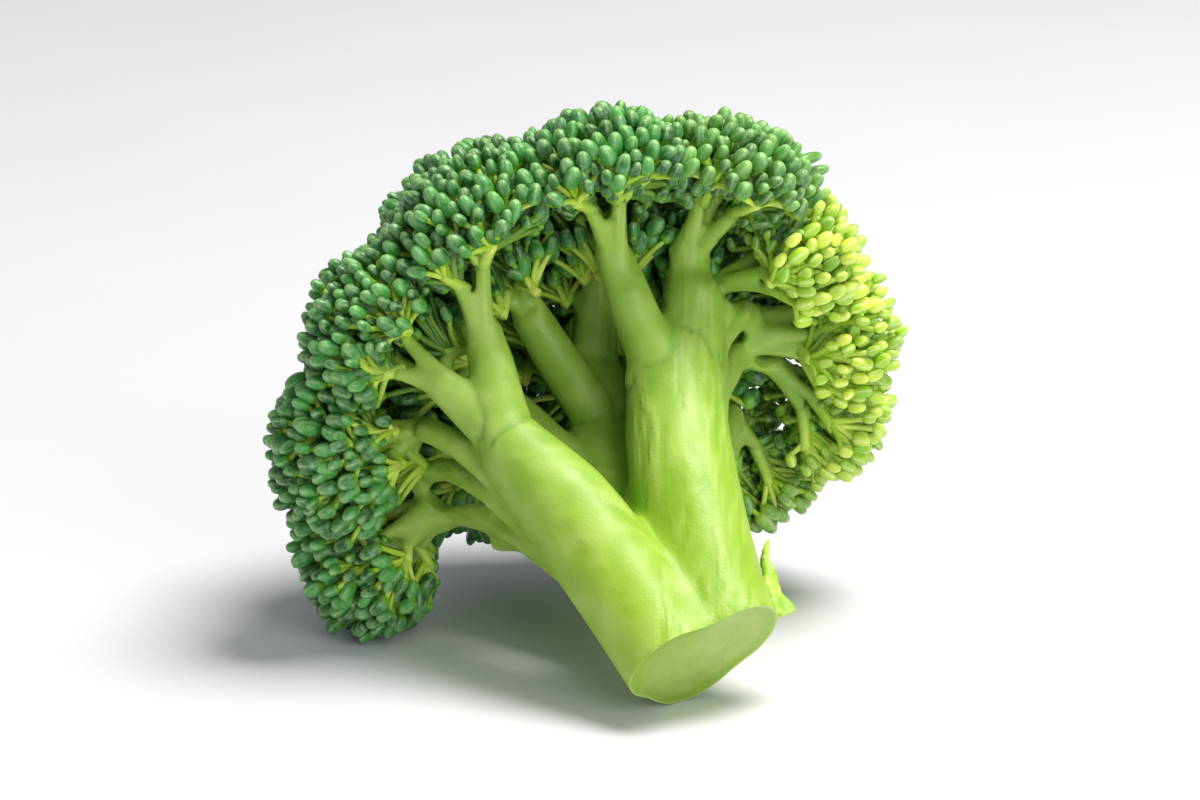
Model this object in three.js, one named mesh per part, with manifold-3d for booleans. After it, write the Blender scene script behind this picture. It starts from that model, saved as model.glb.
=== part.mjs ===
// A small head of broccoli, cut from the plant and lying on its side.
//
// The head is drawn as it grows, in millimetres: the stalk rises along +Z from a flat knife cut,
// its limbs fan out, and each branch carries one floret, a domed cluster of flower buds. The
// origin of that drawing is the middle of the crown. +X is the head's left as it lies, with the
// open underside towards the viewer, and +Y is the side that ends up on top.
// Two nested groups then lay the head down on the surface, Z = 0.
import * as THREE from 'three';
import { mergeVertices } from 'three/addons/utils/BufferGeometryUtils.js';
import Module from 'manifold-3d';

const wasm = await Module();
wasm.setup();

// ---- Driving dimensions, mm and degrees ----
const CUT_BELOW_CROWN = 56; // from the middle of the crown down to the knife cut
const CUT_SLANT = 12; // how far the cut leans off square, lower on the left
const CLUSTER_SPREAD = 13; // half the width that a floret of the usual size fills on its own
const CLUSTER_DEPTH = 9.5; // half the thickness of its layer of buds
const CROWN_ROOT = new THREE.Vector3(-2, 0, -14); // the point that the florets fan out from
const GAP = 0.3; // between two florets, and between a branch and its floret
const LEAF_THICKNESS = 1.2;
const LEAF_HEIGHT = 5; // how far above the crown's axis the leaf's upper face lies
const LEAN = 36; // how far the crown's axis points above the surface
const HEADING = 23; // how far the crown is turned to the left
const ROLL = 180; // which side of the head lies uppermost

const LIMB_SIDES = 10; // faces round a limb
const LIMB_STEPS = 7; // and along it
const CLUSTER_DETAIL = 3; // how often a ball's faces are split to make a cluster
const SAME_POINT = 1e-4; // two vertices closer than this, in mm, are one
const KNIFE_BLOCK = 80; // the side of the block that the knife takes off, wider than the stalk

const FLESH = { color: 0x9cc653, roughness: 0.42, metalness: 0 };
const BUDS = { color: 0x2f5d33, roughness: 0.6, metalness: 0 };
const YOUNG_BUDS = { color: 0xa3b92c, roughness: 0.6, metalness: 0 };
const LEAF = { color: 0x9ab83a, roughness: 0.5, metalness: 0 };

// ---- The florets: the middle of each cluster of buds, and its size beside the usual one ----
const FLORETS = [
  { name: 'left_low', at: [33.5, -30.5, -8], size: 0.98 },
  { name: 'left', at: [40, -12, 0], size: 1 },
  { name: 'left_high', at: [35, 7, 9], size: 1.02 },
  { name: 'top_left', at: [20, 24, 13], size: 1.06 },
  { name: 'top', at: [0, 33, 14], size: 1 },
  { name: 'top_right', at: [-21, 31, 11], size: 1.02 },
  { name: 'right_high', at: [-32, 21, 5], size: 0.92, young: true },
  { name: 'right', at: [-41.5, 6, -1], size: 0.88, young: true },
  { name: 'right_low', at: [-42.5, -10.5, -4], size: 0.88, young: true },
  { name: 'right_under', at: [-35, -25, -1], size: 0.92 },
  { name: 'underside', at: [-19, -37.3, 0.7], size: 0.95 },
  { name: 'left_under', at: [20, -28, 8], size: 0.95 },
  { name: 'notch', at: [2, -34, 11], size: 1.04 },
  { name: 'inner_left', at: [24, -9, 21], size: 1.15 },
  { name: 'inner_top_left', at: [14, 11, 25], size: 1.15 },
  { name: 'inner_top', at: [-8, 15, 26], size: 1.15 },
  { name: 'inner_right', at: [-26, 6, 19], size: 1.15 },
  { name: 'inner_far_right', at: [-34, -8, 12], size: 1 },
  { name: 'inner_low_right', at: [-20, -14, 21], size: 1.15 },
  { name: 'inner_low', at: [3, -15, 26], size: 1.15 },
  { name: 'crown_tip', at: [-5, 0, 29], size: 1.1 },
].map((floret) => ({ ...floret, centre: new THREE.Vector3(...floret.at) }));

// ---- The stalk: each limb's centre line from its root to its end, and its radius on the way ----
const LIMBS = [
  // Three limbs, grown together at the cut, make the stalk.
  { path: [[4, 1, -66], [8, 2.5, -47], [13.5, 4.5, -29], [20, 6, -15]], radii: [7.6, 8, 8, 5.4] },
  { path: [[-3.5, 1, -66], [-4.5, 3.5, -42], [-7, 6.5, -20], [-12, 8, -3]], radii: [8, 8.6, 8.6, 7] },
  { path: [[0, -1, -66], [1, -5, -34], [-2, -8, -10], [-6, -6, 12]], radii: [8.4, 7.6, 5.2, 4.3] },
  // The flesh that fills the groove between them.
  { path: [[3, 2.5, -66], [3, 2.5, -50], [2, -1, -34], [0, -7, -18]], radii: [6.5, 6.5, 5.5, 4] },
  // Branches of the left limb.
  { path: [[20, 6, -16], [20, 12, -2], [20, 16, 4], [20, 20, 9]], radii: [4.8, 3.6, 3.2, 3.6] },
  { path: [[19, 6, -16], [25, 7, -7], [29, 8, -2], [32, 8, 4]], radii: [4.4, 3.5, 3.2, 3.2] },
  { path: [[19, 1, -22], [25, -1, -9], [29, -6, -2], [34, -10, -1]], radii: [2.8, 2.1, 1.9, 1.9] },
  { path: [[16, -1, -30], [21, -6, -14], [24, -13, -5], [29, -22, -4]], radii: [2.9, 2.1, 1.9, 1.9] },
  { path: [[13, -3, -35], [17, -10, -20], [21, -18, -11], [27, -27, -10]], radii: [3, 2.3, 2, 2] },
  // Branches of the right limb.
  { path: [[-9, 8, -12], [-5, 14, 1], [-3, 20, 8], [-1, 26, 12]], radii: [5, 3.7, 3.3, 3.4] },
  { path: [[-13, 8, -6], [-16, 13, 3], [-18, 19, 9], [-19, 25, 12]], radii: [6, 4.7, 4, 3.8] },
  { path: [[-15, 9, -4], [-22, 12, 3], [-26, 16, 7], [-31, 19, 7]], radii: [3.4, 2.6, 2.3, 2.3] },
  { path: [[-13, 7, -13], [-19, 9, -2], [-27, 9, 2], [-36, 7, 1]], radii: [3.8, 2.8, 2.5, 2.4] },
  { path: [[-11, 5, -21], [-18, 4, -8], [-27, 2, -1], [-37, -6, -2]], radii: [4.2, 3, 2.6, 2.4] },
  { path: [[-10, 1, -28], [-17, -4, -14], [-26, -11, -4], [-32, -20, 0]], radii: [4, 3, 2.6, 2.4] },
  { path: [[-12, 7, -8], [-17, 6, 4], [-22, 5, 12], [-25, 5, 17]], radii: [4.2, 3.6, 3.2, 3.2] },
  // Branches of the back limb.
  { path: [[-3, -6, -34], [-9, -13, -17], [-14, -24, -7], [-18, -33, -2]], radii: [4, 3.2, 2.8, 2.6] },
  { path: [[1, -8, -22], [3, -15, -6], [4, -24, 4], [2, -31, 10]], radii: [3.8, 3.1, 2.8, 2.6] },
  { path: [[4, -7, -30], [11, -13, -13], [16, -20, -1], [20, -26, 6]], radii: [3.8, 3.1, 2.8, 2.6] },
  { path: [[1, -7, -24], [7, -9, -4], [15, -9, 10], [22, -9, 18]], radii: [4.4, 3.6, 3.2, 3.2] },
  { path: [[-3, -7, -6], [4, -1, 10], [10, 7, 18], [13, 10, 23]], radii: [4, 3.4, 3.1, 3.1] },
  { path: [[-5, -6, 6], [-6, 2, 15], [-7, 10, 20], [-8, 14, 23]], radii: [4, 3.4, 3.1, 3.1] },
  { path: [[-3, -7, -10], [-9, -10, 4], [-15, -13, 13], [-19, -14, 19]], radii: [4, 3.4, 3.1, 3.1] },
  { path: [[-3, -8, -2], [-1, -11, 10], [1, -13, 18], [3, -14, 23]], radii: [3.8, 3.4, 3.1, 3.1] },
  { path: [[-5, -6, 6], [-5, -4, 16], [-5, -1, 23], [-5, 0, 27]], radii: [4, 3.4, 3.1, 3.1] },
  { path: [[-4, -6, -16], [-14, -6, -3], [-23, -7, 5], [-30, -7, 9]], radii: [3.8, 2.8, 2.6, 2.6] },
  // A side shoot that stayed a knob, and one that broke off.
  { path: [[-6, 7, -14], [-3.8, 8, -9.5], [-2.2, 8.2, -6.5]], radii: [2.6, 2, 1.2] },
  { path: [[10, -2, -38], [13, -6, -29], [15.5, -11, -22], [17.5, -16, -18]], radii: [3.4, 2.4, 1.9, 1.6] },
];

// ---- Solids ----

// A three.js geometry with its shared vertices merged, as a manifold-3d solid.
function solidOf(geometry) {
  const bare = geometry.clone();
  bare.deleteAttribute('normal');
  bare.deleteAttribute('uv');
  const merged = mergeVertices(bare, SAME_POINT);
  return new wasm.Manifold(new wasm.Mesh({
    numProp: 3,
    vertProperties: merged.attributes.position.array,
    triVerts: new Uint32Array(merged.index.array),
  }));
}

function geometryOf(solid) {
  const mesh = solid.getMesh();
  const geometry = new THREE.BufferGeometry();
  geometry.setAttribute('position', new THREE.BufferAttribute(new Float32Array(mesh.vertProperties), 3));
  geometry.setIndex(new THREE.BufferAttribute(new Uint32Array(mesh.triVerts), 1));
  geometry.computeVertexNormals();
  return geometry;
}

function largestPiece(solid) {
  return solid.decompose().reduce((largest, part) => (part.volume() > largest.volume() ? part : largest));
}

// The value at share t, from 0 to 1, of an evenly spaced list.
function along(values, t) {
  const place = t * (values.length - 1);
  const i = Math.min(Math.floor(place), values.length - 2);
  return THREE.MathUtils.lerp(values[i], values[i + 1], place - i);
}

// A closed round bar bent along a limb's centre line, with the limb's radius at each step.
function limbGeometry({ path, radii }, grow) {
  const curve = new THREE.CatmullRomCurve3(path.map((p) => new THREE.Vector3(...p)));
  const frames = curve.computeFrenetFrames(LIMB_STEPS);
  const bar = new THREE.CylinderGeometry(1, 1, 1, LIMB_SIDES, LIMB_STEPS);
  const position = bar.attributes.position;
  for (let i = 0; i < position.count; i += 1) {
    const step = Math.round((position.getY(i) + 0.5) * LIMB_STEPS);
    const t = step / LIMB_STEPS;
    const radius = along(radii, t) + grow;
    const point = curve.getPoint(t)
      .addScaledVector(frames.normals[step], position.getZ(i) * radius)
      .addScaledVector(frames.binormals[step], position.getX(i) * radius);
    position.setXYZ(i, point.x, point.y, point.z);
  }
  return bar;
}

// One floret's buds as a plain solid: a flattened ball that faces out from the crown's root and
// stops at the plane halfway to each neighbour. grow moves its whole surface outwards.
function clusterGeometry(floret, grow) {
  const spread = CLUSTER_SPREAD * floret.size;
  const depth = CLUSTER_DEPTH * floret.size;
  const outwards = floret.centre.clone().sub(CROWN_ROOT).normalize();
  const walls = FLORETS.filter((other) => other !== floret).map((other) => {
    const towards = other.centre.clone().sub(floret.centre);
    return { distance: towards.length() / 2 - GAP / 2 + grow, direction: towards.normalize() };
  });
  const ball = new THREE.IcosahedronGeometry(1, CLUSTER_DETAIL);
  const position = ball.attributes.position;
  const ray = new THREE.Vector3();
  for (let i = 0; i < position.count; i += 1) {
    ray.fromBufferAttribute(position, i).normalize();
    const rise = ray.dot(outwards);
    const across = Math.sqrt(Math.max(0, 1 - rise * rise));
    const free = 1 / Math.hypot(rise / (depth + grow), across / (spread + grow));
    const reach = walls.reduce((least, wall) => {
      const facing = ray.dot(wall.direction);
      return facing > 0 ? Math.min(least, wall.distance / facing) : least;
    }, free);
    ray.multiplyScalar(reach).add(floret.centre);
    position.setXYZ(i, ray.x, ray.y, ray.z);
  }
  return ball;
}

// Every limb joined to the next. grow makes them all stouter.
function limbs(grow) {
  return LIMBS.map((limb) => solidOf(limbGeometry(limb, grow))).reduce((sum, limb) => sum.add(limb));
}

// Everything below the slanted cut.
function belowTheCut() {
  const knife = new THREE.BoxGeometry(KNIFE_BLOCK, KNIFE_BLOCK, KNIFE_BLOCK);
  knife.translate(0, 0, -KNIFE_BLOCK / 2);
  knife.rotateY(THREE.MathUtils.degToRad(CUT_SLANT)).translate(0, 0, -CUT_BELOW_CROWN);
  return solidOf(knife);
}

// The limbs, cut across below the crown and stopped short of every cluster of buds.
function stalkGeometry() {
  const clusters = FLORETS.map((floret) => solidOf(clusterGeometry(floret, GAP)));
  const cut = limbs(0).subtract(belowTheCut());
  return geometryOf(largestPiece(clusters.reduce((rest, cluster) => rest.subtract(cluster), cut)));
}

// What is left of a small leaf: a torn strip up the right-hand edge of the stalk from the cut.
function leafScrapGeometry() {
  const outline = new THREE.Shape();
  outline.moveTo(-8, -60);
  outline.lineTo(-16, -60);
  outline.quadraticCurveTo(-17, -52, -14.8, -49);
  outline.lineTo(-15.4, -45);
  outline.quadraticCurveTo(-14.4, -42, -16.4, -38.5);
  outline.quadraticCurveTo(-13.4, -40, -13, -45);
  outline.lineTo(-8, -50);
  const extrusion = { depth: LEAF_THICKNESS, bevelEnabled: false, curveSegments: 4 };
  const strip = new THREE.ExtrudeGeometry(outline, extrusion);
  strip.rotateX(Math.PI / 2).translate(0, LEAF_HEIGHT, 0);
  return geometryOf(largestPiece(solidOf(strip).subtract(belowTheCut()).subtract(limbs(GAP))));
}

// ---- The scene ----

function piece(name, geometry, look) {
  const mesh = new THREE.Mesh(geometry, new THREE.MeshStandardMaterial(look));
  mesh.name = name;
  return mesh;
}

const asGrown = new THREE.Group();
asGrown.add(piece('stalk', stalkGeometry(), FLESH));
for (const floret of FLORETS) {
  const look = floret.young ? YOUNG_BUDS : BUDS;
  asGrown.add(piece(`buds_${floret.name}`, clusterGeometry(floret, 0), look));
}
asGrown.add(piece('leaf_scrap', leafScrapGeometry(), LEAF));

// Lying down: rolled and leant back, then turned and set on the surface.
asGrown.rotation.set(THREE.MathUtils.degToRad(LEAN - 90), 0, THREE.MathUtils.degToRad(ROLL));
const head = new THREE.Group();
head.name = 'broccoli_head';
head.rotation.z = THREE.MathUtils.degToRad(HEADING);
head.add(asGrown);

const lying = new THREE.Box3().setFromObject(head, true);
const middle = lying.getCenter(new THREE.Vector3());
head.position.set(-middle.x, -middle.y, -lying.min.z);

export default head;
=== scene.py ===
import heapq
import math

import bmesh
import bpy
import numpy as np
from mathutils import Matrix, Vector
from mathutils.bvhtree import BVHTree
from mathutils.kdtree import KDTree


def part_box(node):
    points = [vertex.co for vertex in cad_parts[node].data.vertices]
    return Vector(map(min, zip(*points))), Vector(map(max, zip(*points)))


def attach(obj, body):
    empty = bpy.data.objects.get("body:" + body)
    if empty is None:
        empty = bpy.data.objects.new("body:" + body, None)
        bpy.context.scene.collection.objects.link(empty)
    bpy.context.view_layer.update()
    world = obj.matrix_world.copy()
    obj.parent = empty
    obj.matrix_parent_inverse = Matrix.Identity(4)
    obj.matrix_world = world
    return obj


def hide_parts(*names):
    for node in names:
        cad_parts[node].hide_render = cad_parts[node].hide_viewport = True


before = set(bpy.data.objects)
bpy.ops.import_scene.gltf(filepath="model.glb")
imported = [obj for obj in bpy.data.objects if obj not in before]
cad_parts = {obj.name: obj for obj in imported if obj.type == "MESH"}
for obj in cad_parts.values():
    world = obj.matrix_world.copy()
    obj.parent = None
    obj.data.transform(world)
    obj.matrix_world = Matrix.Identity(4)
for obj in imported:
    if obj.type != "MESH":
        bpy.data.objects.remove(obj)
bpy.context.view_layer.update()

MM = 0.001
UP = np.array([0.0, 0.0, 1.0])
rng = np.random.default_rng(11)

# ---- Real sizes, in metres ----
BUD_WIDTH = 2.5 * MM
BUD_LENGTH = 3.4 * MM
BUD_SPACING = 2.2 * MM
UNDER_SPACING = 2.7 * MM  # of the smaller buds that fill in below the outer ones
UNDER_DEPTH = 2.3 * MM
CORE_SPACING = 2.4 * MM  # of the two layers of small buds deep inside, which keep light out
CORE_DEPTH = 5.2 * MM
DEEPEST = 8.2 * MM
BUDS_IN_TUFT = 13  # a tuft is the handful of buds that share one branchlet
TUFT_LIFT = 0.9 * MM  # how far the middle of a tuft stands out from its edge
HUB_DEPTH = 7.4 * MM  # from a tuft's bud tips down to the point where its fine stalks meet
PEDICEL_RADIUS = 0.44 * MM  # the fine stalk of one bud
BRANCHLET_RADIUS = 0.95 * MM
CLEFT_WIDTH = 7.5 * MM  # narrower clefts between florets are full of buds
WIDEST_CLEFT = 13 * MM  # and narrower ones than this are closed deeper down
FAN_HEIGHT = 4.4 * MM  # how far below its floret a branch ends and its forks take over
CROWN_VOXEL = 1.3 * MM
FLESH_VOXEL = 0.55 * MM
LEAF_VOXEL = 0.35 * MM
CREASE_WIDTH = 0.55 * MM  # of the fine line where one limb leaves another
CREASE_DEPTH = 0.3 * MM
CREASE_ANGLE = math.radians(24)  # the frame's stalk has a crease where it folds inwards by more
CUT_SINK = 0.6 * MM  # how far the cut face has dried inwards at its middle
CROWN_LIFT = 0.9 * MM  # how far the bud tips stand out from the frame's plain solids
LOWEST_TIP = 0.55 * BUD_WIDTH  # above the floor
UNEVENNESS = 0.5 * MM  # how far buds stand in or out of line
STALK_IN_BUD = 0.35 * MM  # how far a bud's stalk runs up inside it
RIM_GAP = 0.42 * MM  # a point of the stalk this near to a floret is on the rim of its branch's end
PAST_THE_CUT = 3 * MM  # what the knife takes off the stalk
BRANCHLET_START = 2.0 * MM  # how far down inside its fork a branchlet begins
FORK_END_RADIUS = 1.1 * MM
THINNEST_FORK = 1.2 * MM  # the least radius of a fork at its root
THICK_FLESH = 8 * MM  # half the thickness of flesh that is smoothed the most
LONGEST_WAY = 0.12  # no point counts as further than this from the cut, along the skin
FULL_WAY = 0.1  # the way from the cut that the skin's material reads as 1

# ---- Proportions ----
CROWN_ROOT = 0.38  # of the way from the crown's middle to the cut, where the limbs seem to start
HUB_LIMIT = 0.75  # of the way from a tuft to its branch's end, the deepest that its hub lies
FORK_PLACE = 0.62  # of the way from a branch's end to the hubs, where a fork ends
HUBS_PER_FORK = 1.7
FEWEST_FORKS = 3
FORK_STOUTNESS = 0.56  # a fork's radius at its root, beside its branch's
FORK_SPREAD = 0.38  # how far a fork's root is from its branch's middle, beside the branch's radius
WIDTHS = (0.72, 1.16)  # the narrowest and widest bud, beside BUD_WIDTH
LENGTHS = (0.9, 1.14)  # the shortest and longest bud, beside the length its width asks for
SWAY = 0.22  # the random part of a bud's direction
RAGGED_EDGE = 4  # degrees by which the edge of the bare part wanders
YOUNG = 0.5  # a floret with more youth than this counts as young
CUT_RINGS = (0.985, 0.96, 0.92, 0.86, 0.78, 0.68, 0.56, 0.43, 0.3, 0.17, 0.06)  # of its face
RIM_FADE = 0.06  # how fast the green rim of the cut fades inwards

# Each kind of fine stalk: its radii at foot and end, its sides and rings, and where it lies between
# the foot of a branchlet, 0, and a bud, 1.
PEDICEL_KIND = ((1.25 * PEDICEL_RADIUS, PEDICEL_RADIUS), (6, 5), (0.3, 1.0))
BRANCHLET_KIND = ((1.2 * BRANCHLET_RADIUS, 0.8 * BRANCHLET_RADIUS), (8, 6), (0.0, 0.35))
FORK_SIDES, FORK_RINGS = 10, 9

# ---- Camera ----
CAMERA_AT = np.array([2.9, -1073.8, 351.0]) * MM
LOOKS_AT = np.array([2.0, 0.0, 39.0]) * MM
LENS = 215.0

# How far round from its stem each floret is bare of buds, in degrees.
BARE_ANGLE = {
    "left_low": 58, "left": 52, "left_high": 54, "top_left": 114, "top": 136, "top_right": 130,
    "right_high": 80, "right": 78, "right_low": 90, "right_under": 80, "underside": 50,
}
USUAL_BARE_ANGLE = 26
WIDE_FAN = math.radians(100)  # florets that are bare further round than this show their stalks as a fan
FULL_DOME_ANGLE = 75  # how much less bare a floret is where it faces outwards from the crown

# How young each floret's buds are: from 0, dark and ripe, to 1, lime.
YOUTH = {"top_right": 0.1, "right_high": 1.0, "right": 1.0, "right_low": 0.75, "right_under": 0.3}

# Buds that stand out from the rest: where each tip is from its floret's middle, and its length, in mm.
STRAYS = {
    "left_low": (((5.2, -3.5, -7.6), 3.4), ((-3.5, -4.5, -8.0), 3.2)),
    "top_right": (((14.9, 10.9, -0.6), 5.2), ((13.4, 10.2, 1.8), 5.0), ((13.2, 9.4, -2.6), 4.6),
                  ((11.8, 8.6, 0.4), 4.4)),
}


# ---- Small helpers ----

def srgb(text):
    """The linear colour of an sRGB hex value such as 9cc653."""
    parts = [int(text[i:i + 2], 16) / 255 for i in (0, 2, 4)]
    return tuple(c / 12.92 if c <= 0.04045 else ((c + 0.055) / 1.055) ** 2.4 for c in parts) + (1.0,)


def unit(v):
    return v / np.maximum(np.linalg.norm(v, axis=-1, keepdims=True), 1e-12)


def across(axis):
    """Two unit vectors square to each axis and to each other."""
    helper = np.where(np.abs(axis[..., 2:3]) < 0.9, UP, np.array([1.0, 0.0, 0.0]))
    first = unit(np.cross(helper, axis))
    return first, np.cross(axis, first)


def points_of(mesh):
    found = np.empty(len(mesh.vertices) * 3, np.float32)
    mesh.vertices.foreach_get("co", found)
    return found.reshape(-1, 3).astype(float)


def triangles_of(mesh):
    mesh.calc_loop_triangles()
    found = np.empty(len(mesh.loop_triangles) * 3, np.int32)
    mesh.loop_triangles.foreach_get("vertices", found)
    return found.reshape(-1, 3)


def edges_of(mesh):
    found = np.empty(len(mesh.edges) * 2, np.int32)
    mesh.edges.foreach_get("vertices", found)
    return found.reshape(-1, 2)


def normals_of(mesh):
    found = np.empty(len(mesh.vertices) * 3, np.float32)
    mesh.vertex_normals.foreach_get("vector", found)
    return found.reshape(-1, 3).astype(float)


def move_points(mesh, points):
    mesh.vertices.foreach_set("co", points.astype(np.float32).ravel())
    mesh.update()


def relax(points, edges, share, rounds):
    """Moves every point towards the mean of its neighbours, by its own share."""
    a, b = edges.T
    size = len(points)
    total = (np.bincount(a, minlength=size) + np.bincount(b, minlength=size))[:, None]
    for _ in range(rounds):
        mean = np.stack([np.bincount(a, points[b, i], size) + np.bincount(b, points[a, i], size)
                         for i in range(3)], -1) / total
        points = points + share[:, None] * (mean - points)
    return points


def skin_over(points, faces, voxel):
    """One mesh: the outer skin of closed shapes that may overlap."""
    rough = bpy.data.meshes.new("rough")
    rough.from_pydata(points, [], faces)
    obj = bpy.data.objects.new("rough", rough)
    bpy.context.scene.collection.objects.link(obj)
    join = obj.modifiers.new("join", "REMESH")
    join.mode, join.voxel_size, join.adaptivity = "VOXEL", voxel, 0.0
    graph = bpy.context.evaluated_depsgraph_get()
    skin = bpy.data.meshes.new_from_object(obj.evaluated_get(graph))
    bpy.data.objects.remove(obj)
    bpy.data.meshes.remove(rough)
    return skin


def tree_of(points):
    tree = KDTree(len(points))
    for i, point in enumerate(points):
        tree.insert(Vector(point), i)
    tree.balance()
    return tree


def share_out(points, count):
    """Sorts points into count groups that lie close together. Gives each point's group number."""
    count = min(count, len(points))
    seeds = [0]
    gap = np.linalg.norm(points - points[0], axis=1)
    while len(seeds) < count:
        seeds.append(int(gap.argmax()))
        gap = np.minimum(gap, np.linalg.norm(points - points[seeds[-1]], axis=1))
    middles = points[seeds]
    for _ in range(8):
        group = np.linalg.norm(points[:, None] - middles[None], axis=2).argmin(1)
        middles = np.array([points[group == k].mean(0) if np.any(group == k) else middles[k]
                            for k in range(count)])
    return np.unique(group, return_inverse=True)[1]


class Growth:
    """Closed shapes gathered into one mesh, each with its own patch of the baking map. Every point has
    four values for its material: tip, from 0 at the foot to 1 at the top; seam, 1 where two sepals
    meet; tone, one light or dark shade for each shape; and youth, how lime a bud is, or on a fine
    stalk how much painted shade darkens it to a deep green."""

    def __init__(self):
        self.points, self.faces, self.uvs, self.slots = [], [], [], []
        self.values = {"tip": [], "seam": [], "tone": [], "youth": []}
        self.count = 0
        self.patches = 0

    def add(self, points, face_sets, slot, **values):
        """Adds copies of one shape. points is (copies, vertices, 3). Each set of faces has the faces of
        one copy and a place in its patch for each face corner."""
        copies, size = points.shape[:2]
        starts = self.count + size * np.arange(copies)
        patch = self.patches + np.arange(copies)
        self.points.append(points.reshape(-1, 3))
        for faces, uvs in face_sets:
            self.faces.append((starts[:, None, None] + faces[None]).reshape(-1, faces.shape[1]))
            self.uvs.append((np.repeat(patch, len(faces)), np.tile(uvs, (copies, 1, 1))))
            self.slots.append(np.full(copies * len(faces), slot))
        for name, store in self.values.items():
            store.append(np.broadcast_to(values.get(name, 0.0), (copies, size)).reshape(-1))
        self.count += copies * size
        self.patches += copies

    def build(self, name, materials):
        mesh = bpy.data.meshes.new(name)
        points = np.concatenate(self.points)
        sizes = np.concatenate([np.full(len(f), f.shape[1]) for f in self.faces])
        corners = np.concatenate([f.reshape(-1) for f in self.faces])
        mesh.vertices.add(len(points))
        mesh.vertices.foreach_set("co", points.astype(np.float32).ravel())
        mesh.loops.add(len(corners))
        mesh.loops.foreach_set("vertex_index", corners.astype(np.int32))
        mesh.polygons.add(len(sizes))
        starts = np.concatenate([[0], np.cumsum(sizes)[:-1]])
        mesh.polygons.foreach_set("loop_start", starts.astype(np.int32))
        mesh.update(calc_edges=True)
        mesh.polygons.foreach_set("material_index", np.concatenate(self.slots).astype(np.int32))
        mesh.polygons.foreach_set("use_smooth", np.ones(len(sizes), bool))
        for value, store in self.values.items():
            layer = mesh.attributes.new(value, "FLOAT", "POINT")
            layer.data.foreach_set("value", np.concatenate(store).astype(np.float32))
        side = math.ceil(math.sqrt(self.patches))
        spots = []
        for patch, uv in self.uvs:
            corner = np.stack([patch % side, patch // side], -1)[:, None, :]
            spots.append(((corner + 0.06 + 0.88 * uv) / side).reshape(-1, 2))
        spots = np.concatenate(spots).astype(np.float32)
        mesh.uv_layers.new(name="OFBake").data.foreach_set("uv", spots.ravel())
        for material in materials:
            mesh.materials.append(material)
        mesh.validate()
        obj = bpy.data.objects.new(name, mesh)
        bpy.context.scene.collection.objects.link(obj)
        return obj


def barrel(sides, rings):
    """The faces of a closed round shape: rings of points, then a point at the bottom and one at the top.
    Gives the quads with their uvs, and the triangles at both ends with theirs."""
    s, r = np.meshgrid(np.arange(sides), np.arange(rings - 1))
    s, r = s.ravel(), r.ravel()
    n = (s + 1) % sides
    quads = np.stack([r * sides + s, r * sides + n, (r + 1) * sides + n, (r + 1) * sides + s], -1)
    low, high = (r + 1) / (rings + 1), (r + 2) / (rings + 1)
    left, right = s / sides, (s + 1) / sides
    corners = ((left, low), (right, low), (right, high), (left, high))
    quad_uvs = np.stack([np.stack(p, -1) for p in corners], 1)
    s = np.arange(sides)
    n = (s + 1) % sides
    bottom, top, last = rings * sides, rings * sides + 1, (rings - 1) * sides
    triangles = np.concatenate([np.stack([n, s, np.full(sides, bottom)], -1),
                                np.stack([last + s, last + n, np.full(sides, top)], -1)])
    left, middle, right = s / sides, (s + 0.5) / sides, (s + 1) / sides
    first, final = np.full(sides, 1 / (rings + 1)), np.full(sides, rings / (rings + 1))
    triangle_uvs = np.concatenate([
        np.stack([np.stack(p, -1) for p in ((right, first), (left, first), (middle, 0 * first))], 1),
        np.stack([np.stack(p, -1) for p in ((left, final), (right, final), (middle, 0 * final + 1))], 1)])
    return (quads, quad_uvs), (triangles, triangle_uvs)


def stalks(bases, bends, ends, radii, sides, rings):
    """Tapered round stalks, each along a curve from its base to its end that a third point bends.
    radii are those at the base and at the end. Gives the points as (copies, vertices, 3)."""
    t = np.linspace(0, 1, rings)[None, :, None]
    centre = (1 - t) ** 2 * bases[:, None] + 2 * t * (1 - t) * bends[:, None] + t ** 2 * ends[:, None]
    heading = unit(np.gradient(centre, axis=1))
    side, other = across(unit(ends - bases))
    side = unit(side[:, None] - heading * np.sum(side[:, None] * heading, -1, keepdims=True))
    other = np.cross(heading, side)
    turn = 2 * math.pi * np.arange(sides) / sides
    radius = radii[0] * (1 - t[..., 0]) + radii[1] * t[..., 0]
    ring = side[:, :, None] * np.cos(turn)[:, None] + other[:, :, None] * np.sin(turn)[:, None]
    shell = centre[:, :, None] + ring * radius[:, :, None, None]
    return np.concatenate([shell.reshape(len(bases), -1, 3), centre[:, :1], centre[:, -1:]], 1)


# ---- The parts of the frame ----

def flat_end(mesh):
    """The middle and the outward normal of the largest flat face: the knife cut."""
    points, triangles = points_of(mesh), triangles_of(mesh)
    a, b, c = (points[triangles[:, i]] for i in range(3))
    cross = np.cross(b - a, c - a)
    area = np.linalg.norm(cross, axis=1)
    normal = unit(cross)
    key = np.round(np.column_stack([normal, np.sum(normal * a, 1) / MM * 0.5]), 2)
    _, group = np.unique(key, axis=0, return_inverse=True)
    best = np.bincount(group.ravel(), weights=area).argmax()
    chosen = group.ravel() == best
    middle = np.average(((a + b + c) / 3)[chosen], axis=0, weights=area[chosen])
    return middle, unit(np.average(normal[chosen], axis=0, weights=area[chosen]))


stalk_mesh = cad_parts["stalk"].data
stalk_points = points_of(stalk_mesh)
cut_middle, cut_normal = flat_end(stalk_mesh)
floret_names = sorted(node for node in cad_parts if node.startswith("buds_"))
crown_middle = np.mean([np.mean(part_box(node), axis=0) for node in floret_names], axis=0)
crown_root = crown_middle + CROWN_ROOT * (cut_middle - crown_middle)


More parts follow.
